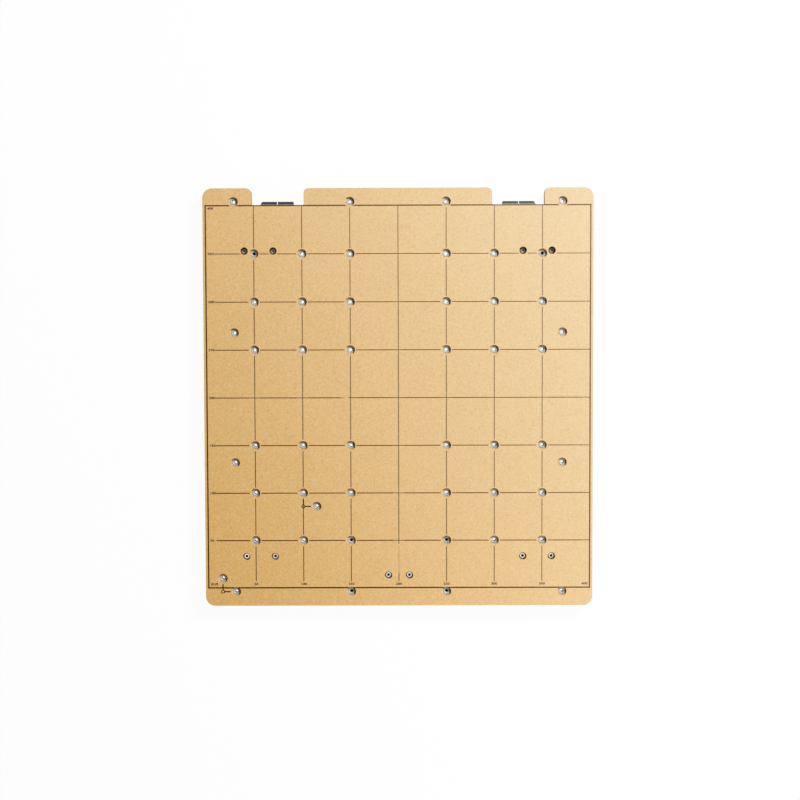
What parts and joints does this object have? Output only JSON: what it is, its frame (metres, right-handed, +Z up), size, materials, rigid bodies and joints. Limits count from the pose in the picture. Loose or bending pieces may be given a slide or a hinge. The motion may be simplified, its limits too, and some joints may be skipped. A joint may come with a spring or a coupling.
{
  "type": "carving platform",
  "caption": "Fibreboard work plate with an engraved millimetre grid, threaded insert nuts, sunk screws and black steel hook plates underneath.",
  "frame": {"origin": "middle of the board's outline, at the level of the lips' lower edges", "axes": "+X to the right along the front edge, +Y to the rear edge with the notches, +Z up out of the work surface"},
  "size_m": [0.406, 0.437, 0.02],
  "materials": {
    "fibreboard": "smooth matt fibreboard with burnt brown engraving",
    "insert_zinc": "zinc plated",
    "screw_steel": "plain stainless",
    "nut_steel": "zinc plated",
    "black_steel": "black powder coat"
  },
  "bodies": {
    "root": {"wasteboard": "fibreboard", "inserts_row_1": "insert_zinc", "inserts_row_2": "insert_zinc", "inserts_row_3": "insert_zinc", "inserts_row_4": "insert_zinc", "inserts_row_5": "insert_zinc", "inserts_row_6": "insert_zinc", "inserts_rear_edge": "insert_zinc", "inserts_front_edge": "insert_zinc", "inserts_left_edge": "insert_zinc", "inserts_right_edge": "insert_zinc", "reference_inserts": "insert_zinc", "rear_screws": "screw_steel", "front_screws": "screw_steel", "catch_screws": "screw_steel", "rear_nuts": "nut_steel", "front_nuts": "nut_steel", "catch_nuts": "nut_steel", "rear_hook_left": "black_steel", "rear_hook_right": "black_steel", "front_catch": "black_steel", "front_pad_left": "black_steel", "front_pad_right": "black_steel"}
  },
  "joints": []
}
